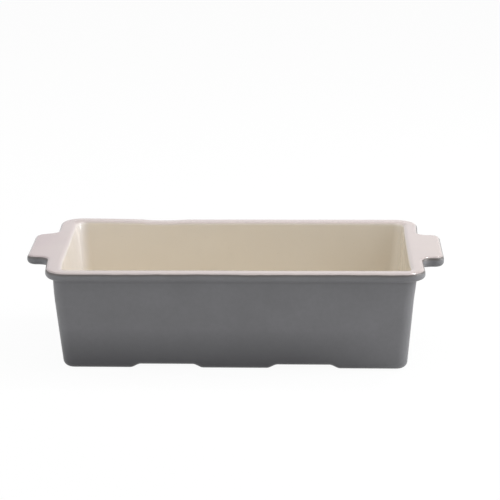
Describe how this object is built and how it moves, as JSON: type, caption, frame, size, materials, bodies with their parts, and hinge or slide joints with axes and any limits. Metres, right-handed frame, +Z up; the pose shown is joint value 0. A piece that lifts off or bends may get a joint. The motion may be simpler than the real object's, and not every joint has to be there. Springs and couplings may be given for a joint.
{
  "type": "lasagne dish",
  "caption": "Deep rectangular baking dish in glazed stoneware, with drafted walls, a rounded overhanging rim, a tab handle at each end and a notched foot.",
  "frame": {"origin": "middle of the foot's underside, on the surface that the dish stands on", "axes": "+X along the dish from one handle to the other, +Y across it, +Z up"},
  "size_m": [0.391, 0.21, 0.0955],
  "materials": {
    "glazed_stoneware": "satin grey glaze outside, smooth cream glaze inside and over the rim, bare clay under the foot"
  },
  "bodies": {
    "root": {"dish": "glazed_stoneware"}
  },
  "joints": []
}
